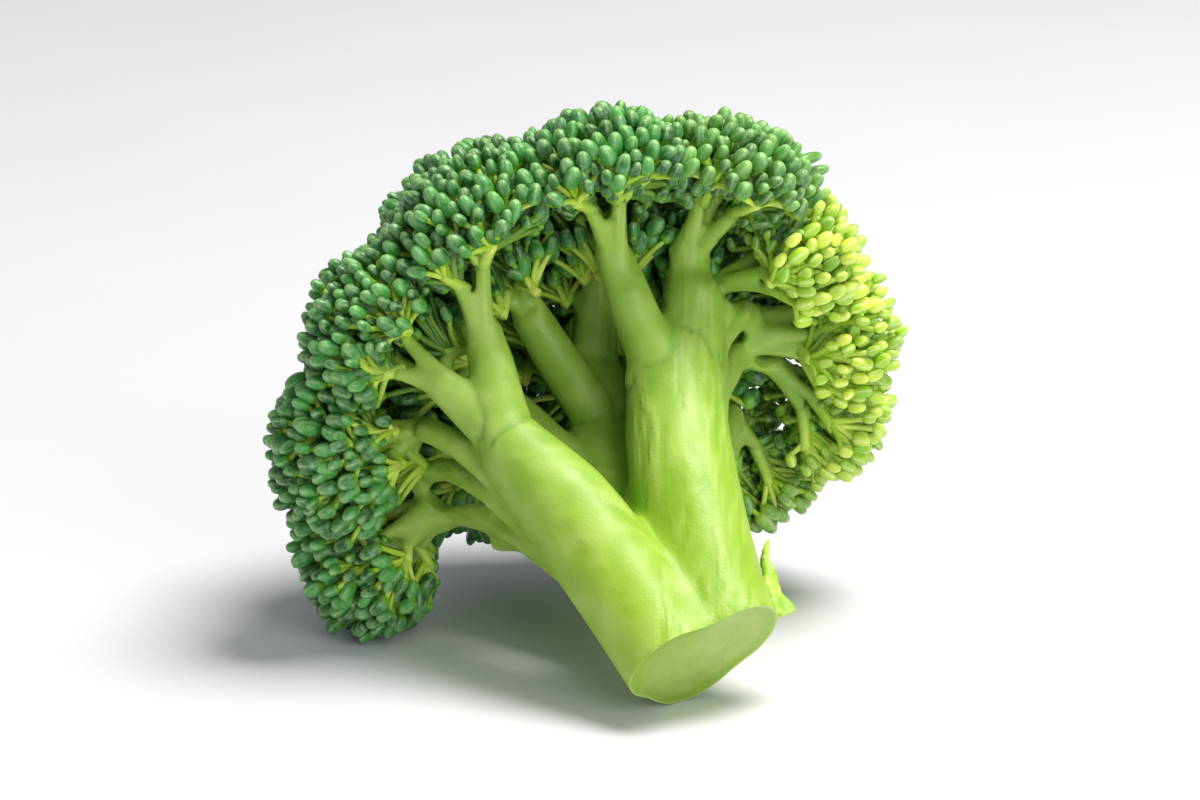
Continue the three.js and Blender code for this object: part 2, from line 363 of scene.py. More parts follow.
class Floret:
    """One floret of the frame: its solid and the end of the branch that carries it."""

    def __init__(self, node):
        self.node = node
        self.name = node.removeprefix("buds_")
        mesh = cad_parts[node].data
        self.points, self.triangles = points_of(mesh), triangles_of(mesh)
        self.solid = BVHTree.FromPolygons(self.points.tolist(), self.triangles.tolist())
        self.centre = (self.points.max(0) + self.points.min(0)) / 2
        self.outwards = unit(self.centre - crown_root)
        self.youth = YOUTH.get(self.name, 0.0)
        self.young = self.youth > YOUNG
        self.bare_angle = math.radians(BARE_ANGLE.get(self.name, USUAL_BARE_ANGLE))
        self.find_stem()

    def find_stem(self):
        """Finds the end of the branch: its rim is the stalk's points that all but touch this floret."""
        gaps = np.array([self.solid.find_nearest(Vector(p))[3] for p in stalk_points])
        touching = stalk_points[gaps < max(RIM_GAP, np.sort(gaps)[3])]
        self.stem_end = touching.mean(0)
        self.stem_radius = float(np.linalg.norm(touching - self.stem_end, axis=1).mean())
        self.to_stem = unit(self.stem_end - self.centre)


florets = [Floret(node) for node in floret_names]


def crown_surface(cleft_width):
    """One surface over all the florets, with the clefts between them closed up to cleft_width."""
    points, faces = [], []
    for floret in florets:
        faces += (len(points) + floret.triangles).tolist()
        rays = floret.points - floret.centre
        points += (floret.points + cleft_width / 2 * unit(rays)).tolist()
    mesh = skin_over(points, faces, CROWN_VOXEL)
    edges, even = edges_of(mesh), np.full(len(mesh.vertices), 0.5)
    move_points(mesh, relax(points_of(mesh), edges, even, 5))
    move_points(mesh, points_of(mesh) - (cleft_width / 2 - CROWN_LIFT) * normals_of(mesh))
    move_points(mesh, relax(points_of(mesh), edges, even, 4))
    return mesh


def scatter(mesh, spacing):
    """Points spread over a surface, none nearer to another than the spacing, and their normals."""
    points, normals, triangles = points_of(mesh), normals_of(mesh), triangles_of(mesh)
    a, b, c = (points[triangles[:, i]] for i in range(3))
    area = np.linalg.norm(np.cross(b - a, c - a), axis=1) / 2
    tries = int(16 * area.sum() / spacing ** 2)
    chosen = triangles[rng.choice(len(triangles), tries, p=area / area.sum())]
    share = rng.dirichlet((1, 1, 1), tries)[:, :, None]
    spots = (points[chosen] * share).sum(1)
    facing = unit((normals[chosen] * share).sum(1))
    tree = tree_of(spots)
    taken = np.zeros(tries, bool)
    kept = []
    for i, spot in enumerate(spots):
        if not taken[i]:
            kept.append(i)
            taken[[j for _, j, _ in tree.find_range(Vector(spot), spacing)]] = True
    return spots[kept], facing[kept]


def place_buds(surface, spacing, depth, less_bare, cleft_angle):
    """Gives every floret the buds that stand on its part of the crown: their tips and normals. The
    bare part round the stem is narrower by less_bare degrees, more in young florets and less in wide
    fans, and narrower by cleft_angle in the clefts. Only the underside is bare: the dome is full."""
    tips, normals = scatter(surface, spacing)
    tips = tips - normals * depth
    tips[:, 2] = np.maximum(tips[:, 2], LOWEST_TIP)
    gaps = np.array([[f.solid.find_nearest(Vector(t))[3] for f in florets] for t in tips])
    owner = gaps.argmin(1)
    in_cleft = np.sort(gaps, axis=1)[:, 1] < CLEFT_WIDTH / 2
    fuller = np.array([0.2 if f.bare_angle > WIDE_FAN else 1 + f.youth for f in florets])[owner]
    # 1 where the crown faces outwards, and 0 where it is turned more than 65 degrees away from that.
    on_dome = np.clip(np.sum(normals * unit(tips - crown_root), 1) / 0.3 - 1.4, 0, 1)
    ragged = rng.normal(0, RAGGED_EDGE, len(tips)) - np.where(in_cleft, cleft_angle, less_bare * fuller)
    ragged = ragged - FULL_DOME_ANGLE * on_dome
    found = []
    for i, floret in enumerate(florets):
        from_stem = np.arccos(np.clip(unit(tips - floret.centre) @ floret.to_stem, -1, 1))
        mine = (owner == i) & (from_stem > floret.bare_angle + np.radians(ragged))
        found.append((tips[mine], normals[mine]))
    return found


crown, inner_crown = crown_surface(CLEFT_WIDTH), crown_surface(WIDEST_CLEFT)
outer_buds = place_buds(crown, BUD_SPACING, 0.0, 0, 0)
under_buds = place_buds(crown, UNDER_SPACING, UNDER_DEPTH, -5, 0)
core_buds = place_buds(inner_crown, CORE_SPACING, CORE_DEPTH, 30, 180)
deep_buds = place_buds(inner_crown, CORE_SPACING, DEEPEST, 40, 180)


class Tuft:
    """A handful of buds on fine stalks that meet at one hub, below them and towards their branch."""

    def __init__(self, tips, normals, floret):
        self.middle = tips.mean(0)
        self.axis = unit(0.5 * unit(normals.mean(0)) + 0.8 * floret.outwards)
        back = floret.stem_end - self.middle
        inwards = unit(0.45 * unit(back) - 0.9 * self.axis)
        self.hub = self.middle + inwards * min(HUB_DEPTH, HUB_LIMIT * np.linalg.norm(back))


def grow_tufts(floret, outer, deeper):
    """Sorts a floret's buds into tufts and lifts the middle of each tuft. Deeper buds join the
    nearest tuft. floret.layers holds each layer's tips, normals and tuft numbers."""
    tips, normals = outer
    group = share_out(tips, max(2, round(len(tips) / BUDS_IN_TUFT)))
    floret.tufts = [Tuft(tips[group == k], normals[group == k], floret) for k in range(group.max() + 1)]
    middles = np.array([t.middle for t in floret.tufts])
    axes = np.array([t.axis for t in floret.tufts])
    away = np.linalg.norm(tips - middles[group], axis=1)
    widest = np.array([away[group == k].max() for k in range(len(middles))]) + 0.5 * MM
    tips = tips + axes[group] * (TUFT_LIFT * (0.6 - (away / widest[group]) ** 2))[:, None]
    floret.layers = [(tips, normals, group)]
    for tips, normals in deeper:
        nearest = np.linalg.norm(tips[:, None] - middles[None], axis=2).argmin(1)
        floret.layers.append((tips, normals, nearest))


def find_forks(floret):
    """Shares the tufts among a few forks between the branch's end and the hubs."""
    hubs = np.array([t.hub for t in floret.tufts])
    group = share_out(unit(hubs - floret.stem_end), max(FEWEST_FORKS, round(len(hubs) / HUBS_PER_FORK)))
    floret.forks = []
    for k in range(group.max() + 1):
        members = np.flatnonzero(group == k)
        fork = floret.stem_end + FORK_PLACE * (hubs[members].mean(0) - floret.stem_end)
        floret.forks.append((fork, members))
        for i in members:
            floret.tufts[i].fork = fork


for floret, outer, *deeper in zip(florets, outer_buds, under_buds, core_buds, deep_buds):
    grow_tufts(floret, outer, deeper)
    find_forks(floret)
for surface in (crown, inner_crown):
    bpy.data.meshes.remove(surface)


# ---- Materials ----

# Each kind of node: its type, its fixed settings, its inputs in the order they are given, and the
# output that is read.
NODES = {
    "place": ("ShaderNodeTexCoord", {}, (), "Object"),
    "stretch": ("ShaderNodeMapping", {}, ("Vector", "Scale"), "Vector"),
    "noise": ("ShaderNodeTexNoise", {}, ("Vector", "Scale", "Detail"), "Fac"),
    "value": ("ShaderNodeAttribute", {}, (), "Fac"),
    "ramp": ("ShaderNodeMapRange", {}, ("Value", "From Min", "From Max", "To Min", "To Max"), "Result"),
    "mix": ("ShaderNodeMix", {"data_type": "RGBA"}, (0, 6, 7), 2),
    "sum": ("ShaderNodeMath", {"operation": "ADD"}, (0, 1), 0),
    "product": ("ShaderNodeMath", {"operation": "MULTIPLY"}, (0, 1), 0),
    "bump": ("ShaderNodeBump", {"Strength": 1.0}, ("Height", "Distance"), "Normal"),
    "surface": ("ShaderNodeBsdfPrincipled", {}, ("Base Color", "Roughness", "Normal"), "BSDF"),
    "output": ("ShaderNodeOutputMaterial", {}, ("Surface",), None),
}


class Finish:
    """A material while its nodes are put together."""

    def __init__(self, name):
        self.material = bpy.data.materials.new(name)
        self.material.use_nodes = True
        self.tree = self.material.node_tree
        self.tree.nodes.clear()
        self.place = self.add("place")

    def add(self, kind, *inputs, **settings):
        """Adds a node and gives the output that is read. An input is a socket to join, a number, or a
        colour's hex text. settings are the node's properties, or inputs by their names."""
        type_name, fixed, slots, output = NODES[kind]
        node = self.tree.nodes.new(type_name)
        for key, value in {**fixed, **settings}.items():
            if key in node.inputs:
                node.inputs[key].default_value = value
            else:
                setattr(node, key, value)
        for slot, value in zip(slots, inputs):
            if isinstance(value, bpy.types.NodeSocket):
                self.tree.links.new(value, node.inputs[slot])
            else:
                node.inputs[slot].default_value = srgb(value) if isinstance(value, str) else value
        return node.outputs[output] if output is not None else node

    def done(self, colour, roughness, height=None, bump=0.0, looks=None):
        """Joins the colour, roughness and relief to the surface. looks are its other inputs."""
        relief = [] if height is None else [self.add("bump", height, bump)]
        self.add("output", self.add("surface", colour, roughness, *relief, **(looks or {})))
        return self.material


def waxy_stalk_skin():
    """Broccoli stalk: living skin under a thin coat of wax. Lime green near the cut, paler towards the
    branches, with painted shade that darkens its creases, faint lengthwise streaks and a satin shine."""
    m = Finish("waxy_stalk_skin")
    streak, depth, far = (m.add("value", attribute_name=n) for n in ("streak", "crease_and_painted_shade", "along"))
    blotch = m.add("ramp", m.add("noise", m.place, 1 / (16 * MM), 2), 0.35, 0.65)
    low = m.add("mix", blotch, "89b11a", "98ba31")
    high = m.add("mix", blotch, "8cb23c", "9cbd4e")
    body = m.add("mix", m.add("ramp", far, 0.15, 0.55), low, high)
    body = m.add("mix", m.add("ramp", streak, 0.45, 0.95, 0.0, 0.5), body, "b4cc68")
    body = m.add("mix", m.add("ramp", streak, 0.5, 0.05, 0.0, 0.3), body, "76a626")
    # Painted shade: darker green along the creases.
    body = m.add("mix", m.add("product", depth, 0.6), body, "5a9422")
    fine = m.add("noise", m.place, 1 / (0.5 * MM), 4)
    height = m.add("sum", m.add("product", streak, 0.8), m.add("product", fine, 0.2))
    rough = m.add("ramp", m.add("noise", m.place, 1 / (3 * MM), 3), 0.3, 0.7, 0.42, 0.56)
    return m.done(body, rough, height, 0.26 * MM, {
        "Subsurface Weight": 0.12, "Subsurface Radius": (0.8, 1.4, 0.3), "Subsurface Scale": 1.0 * MM,
        "Coat Weight": 0.05, "Coat Roughness": 0.35})


def moist_cut_flesh():
    """The inside of the stalk where the knife went: wet, smooth and pale, with a greener ring under
    the skin, a pale line where the skin ends, and faint marks from the blade."""
    m = Finish("moist_cut_flesh")
    rim = m.add("value", attribute_name="rim")
    blotch = m.add("ramp", m.add("noise", m.place, 1 / (8 * MM), 2), 0.35, 0.65)
    body = m.add("mix", blotch, "a3ba5c", "93ac3e")
    body = m.add("mix", m.add("ramp", rim, 0.0, 0.12, 0.0, 0.85), body, "86a826")
    body = m.add("mix", m.add("ramp", rim, 0.55, 1.0, 0.0, 0.8), body, "bdd47a")
    upright = m.add("stretch", m.place, (1, 1, 1 / 9))
    marks = m.add("noise", upright, 1 / (0.8 * MM), 2)
    body = m.add("mix", m.add("ramp", marks, 0.45, 0.7, 0.0, 0.15), body, "c3d690")
    rough = m.add("ramp", marks, 0.3, 0.7, 0.28, 0.42)
    return m.done(body, rough, marks, 0.04 * MM, {
        "Subsurface Weight": 0.2, "Subsurface Radius": (0.8, 1.4, 0.3), "Subsurface Scale": 1.5 * MM})


def pedicel_skin():
    """The fine stalks inside a floret: the same skin as the stalk, younger and more yellow. The ones
    deep inside carry painted shade, a darker green."""
    m = Finish("pedicel_skin")
    tone, tip, youth = (m.add("value", attribute_name=n) for n in ("tone", "tip", "youth"))
    body = m.add("mix", tone, "a2cc2c", "d8ec6c")
    body = m.add("mix", m.add("ramp", tip, 0.3, 0.0), body, "9cc452")
    body = m.add("mix", m.add("ramp", tip, 0.7, 1.0, 0.0, 0.5), body, "6da324")
    # Painted shade: on a fine stalk the youth value darkens it towards deep green.
    body = m.add("mix", youth, body, "31721a")
    rough = m.add("ramp", m.add("noise", m.place, 1 / (1 * MM), 3), 0.3, 0.7, 0.38, 0.55)
    fine = m.add("noise", m.place, 1 / (0.5 * MM), 3)
    return m.done(body, rough, fine, 0.1 * MM, {
        "Subsurface Weight": 0.1, "Subsurface Radius": (0.6, 1.0, 0.2), "Subsurface Scale": 0.6 * MM})


def sepal_skin():
    """The four sepals that close over each bud: dark green under a grey-green bloom of wax, paler
    along the sepals' edges, partly their own colour and partly painted highlight, paler at the tip as
    a painted highlight, and yellow-green at the base. Young buds are lime, with paler seams that are
    partly their own colour and partly painted highlight."""
    m = Finish("sepal_skin")
    tip, seam, tone, youth = (m.add("value", attribute_name=n) for n in ("tip", "seam", "tone", "youth"))
    dark = m.add("mix", tone, "084a14", "3f9c38")
    bloom = m.add("ramp", m.add("noise", m.place, 1 / (1.2 * MM), 4), 0.45, 0.7, 0.0, 0.55)
    old = m.add("mix", bloom, dark, "84bd84")
    old = m.add("mix", m.add("ramp", tip, 0.36, 0.05), old, "72ae20")
    # Paler towards the tip: painted highlight.
    old = m.add("mix", m.add("ramp", tip, 0.72, 1.0, 0.0, 0.45), old, "9fcb7c")
    # Paler along the sepals' edges, broken up and stronger towards the tip: partly the sepals' own colour,
    # partly painted highlight.
    broken = m.add("ramp", m.add("noise", m.place, 1 / (1.5 * MM), 3), 0.35, 0.6, 0.2, 1.0)
    edge = m.add("product", m.add("ramp", seam, 0.1, 1.0, 0.0, 0.6), broken)
    edge = m.add("product", edge, m.add("ramp", tip, 0.2, 0.8, 0.3, 1.0))
    old = m.add("mix", edge, old, "b4da90")
    fresh = m.add("mix", tone, "9ad814", "ecf858")
    # Paler seams on young buds: partly their own colour, partly painted highlight.
    fresh = m.add("mix", m.add("product", seam, 0.7), fresh, "f4f9ac")
    body = m.add("mix", youth, old, fresh)
    rough = m.add("ramp", m.add("noise", m.place, 1 / (0.8 * MM), 3), 0.3, 0.7, 0.3, 0.5)
    fine = m.add("noise", m.place, 1 / (0.3 * MM), 3)
    return m.done(body, rough, fine, 0.08 * MM, {
        "Subsurface Weight": 0.05, "Subsurface Radius": (0.4, 0.8, 0.2), "Subsurface Scale": 0.4 * MM,
        "Coat Weight": 0.22, "Coat Roughness": 0.22})


def torn_leaf_blade():
    """A scrap of broccoli leaf: thin, yellow-green, with pale veins and a dull wax."""
    m = Finish("torn_leaf_blade")
    level = m.add("stretch", m.place, (1 / 3, 1 / 3, 1))
    veins = m.add("ramp", m.add("noise", level, 1 / (2.2 * MM), 3), 0.5, 0.62)
    blotch = m.add("ramp", m.add("noise", m.place, 1 / (4 * MM), 3), 0.35, 0.65)
    body = m.add("mix", blotch, "86b41c", "a9cb3e")
    body = m.add("mix", m.add("product", veins, 0.6), body, "c6da74")
    rough = m.add("ramp", m.add("noise", m.place, 1 / (1 * MM), 3), 0.3, 0.7, 0.4, 0.6)
    return m.done(body, rough, veins, 0.2 * MM, {
        "Subsurface Weight": 0.2, "Subsurface Radius": (0.6, 1.2, 0.2), "Subsurface Scale": 0.8 * MM})


def matt_white_paper():
    """Uncoated white paper: even and dull, with a slight mottle from its fibres."""
    m = Finish("matt_white_paper")
    body = m.add("mix", m.add("noise", m.place, 1 / (60 * MM), 3), "dcdce2", "e2e2e7")
    return m.done(body, m.add("ramp", m.add("noise", m.place, 1 / (2 * MM), 3), 0, 1, 0.6, 0.7))


SKIN, CUT, PEDICEL, SEPAL = waxy_stalk_skin(), moist_cut_flesh(), pedicel_skin(), sepal_skin()
LEAF = torn_leaf_blade()


# ---- Buds ----

class BudShape:
    """One closed bud along +Z, of width and length 1: a plump oval of four sepals that meet in four
    grooves. quarter holds the angles of one sepal's points and height those of its rings."""

    def __init__(self, quarter, height):
        quarter, height = np.array(quarter), np.array(height)
        turn = np.concatenate([quarter + i * math.pi / 2 for i in range(4)])
        sides, rings = len(turn), len(height)
        outline = (1 - np.abs(height / 0.5 - 1) ** 2.3) ** (1 / 2.3) * (1.06 - 0.18 * height)
        from_seam = np.minimum(turn % (math.pi / 2), math.pi / 2 - turn % (math.pi / 2))
        seam = np.exp(-(from_seam / 0.17) ** 2)
        depth = 0.05 + 0.14 * height ** 2
        radius = 0.5 * outline[:, None] * (1 - depth[:, None] * seam[None])
        level = np.repeat(height, sides)
        circle = np.stack([(radius * np.cos(turn)).ravel(), (radius * np.sin(turn)).ravel(), level], -1)
        self.faces = barrel(sides, rings)
        self.points = np.concatenate([circle, [[0, 0, 0.0]], [[0, 0, 0.975]]])
        self.tip = np.concatenate([level, [0.0, 1.0]])
        self.seam = np.concatenate([np.tile(seam, rings), [0.0, 1.0]])


FINE_BUD = BudShape([0.0, 0.15, 0.45, math.pi / 2 - 0.45, math.pi / 2 - 0.15],
                    [0.03, 0.1, 0.22, 0.38, 0.54, 0.7, 0.83, 0.92, 0.975])
PLAIN_BUD = BudShape([0.0, 0.4, math.pi / 2 - 0.4], [0.04, 0.18, 0.42, 0.68, 0.88, 0.97])

# From the outermost layer of buds to the deepest: the buds' shape and size beside the usual one, and
# the share of the branchlet from its hub down to where their stalks leave it.
LAYER_LOOKS = ((FINE_BUD, 1.0, 0.0), (FINE_BUD, 0.86, 0.4), (PLAIN_BUD, 0.8, 0.8), (PLAIN_BUD, 0.85, 1.0))


def add_buds(growth, shape, bases, directions, widths, lengths, youth, tone):
    """Buds that stand on bases and point along directions."""
    count = len(bases)
    side, other = across(directions)
    turn = rng.uniform(0, 2 * math.pi, count)[:, None]
    first = side * np.cos(turn) + other * np.sin(turn)
    second = np.cross(directions, first)
    lean = rng.normal(0, 0.08, (count, 2))
    x, y, z = shape.points.T
    bow_x = x[None] * widths[:, None] + lean[:, :1] * lengths[:, None] * z[None] ** 2
    bow_y = y[None] * widths[:, None] + lean[:, 1:] * lengths[:, None] * z[None] ** 2
    points = (bases[:, None] + bow_x[..., None] * first[:, None] + bow_y[..., None] * second[:, None]
              + (z[None] * lengths[:, None])[..., None] * directions[:, None])
    growth.add(points, shape.faces, 1, tip=shape.tip[None], seam=shape.seam[None],
               tone=tone[:, None], youth=youth[:, None])


def add_stalks(growth, bases, bends, ends, kind, shade=0.0):
    """Fine stalks of one kind. shade is how much painted shade darkens them to a deep green."""
    radii, (sides, rings), ages = kind
    points = stalks(bases, bends, ends, radii, sides, rings)
    tip = np.concatenate([np.repeat(np.linspace(*ages, rings), sides), ages])
    tone = rng.uniform(0, 1, (len(bases), 1))
    growth.add(points, barrel(sides, rings), 0, tip=tip[None], tone=tone, youth=shade)


def add_tuft_buds(growth, floret, shape, layer, size, down):
    """A layer of buds, each on its own fine stalk. The stalks leave their tuft's branchlet at its hub,
    or a share of the way down from it."""
    tips, normals, group = layer
    count = len(tips)
    hubs = np.array([t.hub for t in floret.tufts])[group]
    forks = np.array([t.fork for t in floret.tufts])[group]
    axes = np.array([t.axis for t in floret.tufts])[group]
    starts = hubs + (down + rng.uniform(0, 0.3, (count, 1))) * (forks - hubs)
    outwards = 0.35 * normals + 0.55 * floret.outwards + 0.5 * unit(tips - starts)
    pointing = unit(outwards + rng.normal(0, SWAY, (count, 3)))
    widths = size * (1 - 0.14 * floret.youth) * BUD_WIDTH * rng.uniform(*WIDTHS, count)
    lengths = BUD_LENGTH * widths / BUD_WIDTH * rng.uniform(*LENGTHS, count)
    tips = tips + pointing * rng.normal(0, UNEVENNESS, (count, 1))
    bases = tips - pointing * lengths[:, None]
    ripe = np.clip(0.5 + 0.5 * (unit(tips - floret.centre) @ -floret.to_stem), 0, 1)
    # Painted shade inside the crown: the deeper layers are less lime and darker in tone.
    youth = floret.youth * (1 - 0.3 * ripe ** 3 - 0.85 * down ** 2 + rng.normal(0, 0.16, count))
    tone = rng.uniform(0, 1, count) * (1 - 0.8 * down)
    add_buds(growth, shape, bases, pointing, widths, lengths, youth, tone)
    ends = bases + pointing * STALK_IN_BUD
    run = np.linalg.norm(ends - starts, axis=1)[:, None]
    bends = (starts + ends) / 2 + 0.2 * run * axes - 0.1 * run * pointing
    bends += rng.normal(0, 0.2 * MM, starts.shape)
    # Painted shade on the stalks of deeper layers, less in young florets.
    shade = 0.9 * down * (1 - 0.7 * floret.youth)
    add_stalks(growth, starts, bends, ends, PEDICEL_KIND, shade)


def add_strays(growth, floret):
    """The few long-stalked buds that stand out from this floret."""
    for offset, length in STRAYS.get(floret.name, ()):
        tip = floret.centre + np.array(offset) * MM
        hub = min((t.hub for t in floret.tufts), key=lambda spot: np.linalg.norm(spot - tip))
        pointing = unit(tip - hub)
        base = tip - pointing * length * MM
        add_buds(growth, FINE_BUD, base[None], pointing[None], np.array([0.8 * BUD_WIDTH]),
                 np.array([length * MM]), np.array([floret.youth]), np.array([0.6]))
        bend = (hub + base) / 2 + UP * 0.6 * MM
        end = base + pointing * STALK_IN_BUD
        add_stalks(growth, hub[None], bend[None], end[None], PEDICEL_KIND)


def grow_floret(floret):
    """The branchlets, fine stalks and buds of one floret, as one piece."""
    growth = Growth()
    for layer, (shape, size, down) in zip(floret.layers, LAYER_LOOKS):
        add_tuft_buds(growth, floret, shape, layer, size, down)
    add_strays(growth, floret)
    hubs = np.array([t.hub for t in floret.tufts])
    for fork, members in floret.forks:
        targets = hubs[members]
        back = unit(fork - floret.stem_end)
        fork_at = np.repeat((fork - BRANCHLET_START * back)[None], len(members), 0)
        run = np.linalg.norm(targets - fork_at, axis=1)[:, None]
        bends = (fork_at + targets) / 2 + 0.15 * run * (back - unit(targets - fork_at))
        past = targets + 0.5 * MM * unit(targets - bends)
        add_stalks(growth, fork_at, bends, past, BRANCHLET_KIND)
    piece = growth.build("sprig_" + floret.name, [PEDICEL, SEPAL])
    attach(piece, "root")
    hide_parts(floret.node)


# ---- The stalk ----

def tube(path, radii):
    """A closed tube along a list of points."""
    heading = unit(np.gradient(path, axis=0))
    side, _ = across(heading[0])
    points = []
    for point, ahead, radius in zip(path, heading, radii):
        side = unit(side - ahead * (side @ ahead))
        other = np.cross(ahead, side)
        for i in range(FORK_SIDES):
            turn = 2 * math.pi * i / FORK_SIDES
            points.append(point + radius * (side * math.cos(turn) + other * math.sin(turn)))
    last = (len(path) - 1) * FORK_SIDES
    faces = [list(range(FORK_SIDES))[::-1], [last + i for i in range(FORK_SIDES)]]
    for ring in range(0, last, FORK_SIDES):
        for i in range(FORK_SIDES):
            n = (i + 1) % FORK_SIDES
            faces.append([ring + i, ring + n, ring + FORK_SIDES + n, ring + FORK_SIDES + i])
    return points, faces


def set_values(mesh, name, values):
    """Gives every point of a mesh a value that its material reads."""
    layer = mesh.attributes.new(name, "FLOAT", "POINT")
    layer.data.foreach_set("value", values.astype(np.float32))


def spread_values(values, edges, weights, rounds):
    """Repeatedly replaces each value by the mean of its neighbours', weighted edge by edge."""
    a, b = edges.T
    size = len(values)
    total = np.bincount(a, weights, size) + np.bincount(b, weights, size) + 1e-9
    for _ in range(rounds):
        mean = (np.bincount(a, weights * values[b], size) + np.bincount(b, weights * values[a], size)) / total
        values = 0.5 * values + 0.5 * mean
    return values


def concave_lines():
    """Points along the inward creases of the frame's stalk, where one limb leaves another."""
    bm = bmesh.new()
    bm.from_mesh(stalk_mesh)
    bmesh.ops.remove_doubles(bm, verts=bm.verts, dist=0.001 * MM)
    found = []
    for edge in bm.edges:
        if len(edge.link_faces) == 2 and edge.calc_face_angle_signed() < -CREASE_ANGLE:
            a, b = (np.array(v.co) for v in edge.verts)
            steps = max(2, int(np.linalg.norm(b - a) / (0.3 * MM)))
            found += [a + (b - a) * t for t in np.linspace(0, 1, steps)]
    bm.free()
    return np.array(found)


def shorten_limbs(points):
    """Draws the end of every limb back by FAN_HEIGHT, and the flesh behind it by less and less."""
    for floret in florets:
        rays = points - floret.stem_end
        down = rays @ floret.to_stem
        aside = rays - down[:, None] * floret.to_stem
        beside = np.linalg.norm(aside, axis=1) < 1.7 * floret.stem_radius
        near = beside & (down > -floret.stem_radius) & (down < 2 * FAN_HEIGHT)
        share = near * (1 - down / (2 * FAN_HEIGHT))
        points += share[:, None] * (FAN_HEIGHT * floret.to_stem - 0.15 * aside)


def fork_tube(floret, fork):
    """The tube of flesh from inside a shortened limb to one of its forks."""
    middle = floret.stem_end + floret.to_stem * (FAN_HEIGHT + 0.6 * floret.stem_radius)
    aside = fork - middle
    aside = aside - floret.to_stem * (aside @ floret.to_stem)
    root = middle + FORK_SPREAD * floret.stem_radius * unit(aside)
    t = np.linspace(0, 1, FORK_RINGS)[:, None]
    bend = root - floret.to_stem * 0.45 * np.linalg.norm(fork - root)
    path = (1 - t) ** 2 * root + 2 * t * (1 - t) * bend + t ** 2 * fork
    stout = max(FORK_STOUTNESS * floret.stem_radius, THINNEST_FORK)
    return tube(path, np.linspace(stout, FORK_END_RADIUS, FORK_RINGS))


def grow_stalk():
    """The stalk as one smooth skin around the frame's limbs and the first forks of every floret.
    Each limb stops FAN_HEIGHT short of its floret, and its forks flare out from there."""
    points = stalk_points.copy()
    at_cut = np.abs((points - cut_middle) @ cut_normal) < 0.02 * MM
    points[at_cut] += PAST_THE_CUT * cut_normal
    shorten_limbs(points)
    all_points, all_faces = points.tolist(), triangles_of(stalk_mesh).tolist()
    for floret in florets:
        for fork, _ in floret.forks:
            new_points, new_faces = fork_tube(floret, fork)
            start = len(all_points)
            all_points += [p.tolist() for p in new_points]
            all_faces += [[start + i for i in face] for face in new_faces]
    mesh = skin_over(all_points, all_faces, FLESH_VOXEL)
    smooth_stalk(mesh)
    cut_stalk(mesh)
    paint_stalk(mesh)
    keep_piece("stalk_and_branches", mesh, [SKIN, CUT], "stalk")


def keep_piece(name, mesh, materials, node):
    """Puts a finished mesh in the scene, in the place of its node of the frame."""
    mesh.polygons.foreach_set("use_smooth", np.ones(len(mesh.polygons), bool))
    for material in materials:
        mesh.materials.append(material)
    obj = bpy.data.objects.new(name, mesh)
    bpy.context.scene.collection.objects.link(obj)
    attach(obj, "root")
    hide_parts(node)


def half_thickness(mesh):
    """Half the flesh's thickness under each point, evened out over its neighbours."""
    tree = BVHTree.FromPolygons(points_of(mesh).tolist(), [list(p.vertices) for p in mesh.polygons])
    points, normals = points_of(mesh), normals_of(mesh)
    found = np.empty(len(points))
    for i, (point, normal) in enumerate(zip(points, normals)):
        hit = tree.ray_cast(Vector(point - normal * 0.2 * MM), Vector(-normal), 30 * MM)[3]
        found[i] = (hit or 2 * MM) / 2
    edges = edges_of(mesh)
    return spread_values(np.clip(found, 0.8 * MM, 9 * MM), edges, np.ones(len(edges)), 12)


def smooth_stalk(mesh):
    """Evens out the skin, more where the flesh is thick, and sinks a fine crease along each fork. The
    crease's mask is kept for the skin's painted shade.
    """
    radius = half_thickness(mesh)
    share = np.clip(0.5 * (radius / THICK_FLESH) ** 2, 0.035, 0.5)
    points = relax(points_of(mesh), edges_of(mesh), share, 64)
    move_points(mesh, points)
    points = points + normals_of(mesh) * radius[:, None] * 0.03
    creases = tree_of(concave_lines())
    gap = np.array([creases.find(Vector(p))[2] for p in points])
    # The crease's mask: it sinks the skin, and the skin's material uses it to paint shade into the creases.
    crease_and_painted_shade = np.exp(-(gap / CREASE_WIDTH) ** 2)
    sink = crease_and_painted_shade * np.clip(0.12 * radius, 0, CREASE_DEPTH)
    move_points(mesh, points - normals_of(mesh) * sink[:, None])
    set_values(mesh, "crease_and_painted_shade", crease_and_painted_shade)


def loop_of(edges):
    """The points of a closed line of edges, in order round it, anticlockwise about the cut's normal."""
    beside = {}
    for edge in edges:
        for vert in edge.verts:
            beside.setdefault(vert, []).append(edge)
    loop, edge = [edges[0].verts[0]], edges[0]
    while edge.other_vert(loop[-1]) is not loop[0]:
        loop.append(edge.other_vert(loop[-1]))
        edge = next(e for e in beside[loop[-1]] if e is not edge)
    turning = sum((a.co.cross(b.co) for a, b in zip(loop, loop[1:] + loop[:1])), Vector())
    return loop if turning.dot(Vector(cut_normal)) > 0 else loop[::-1]


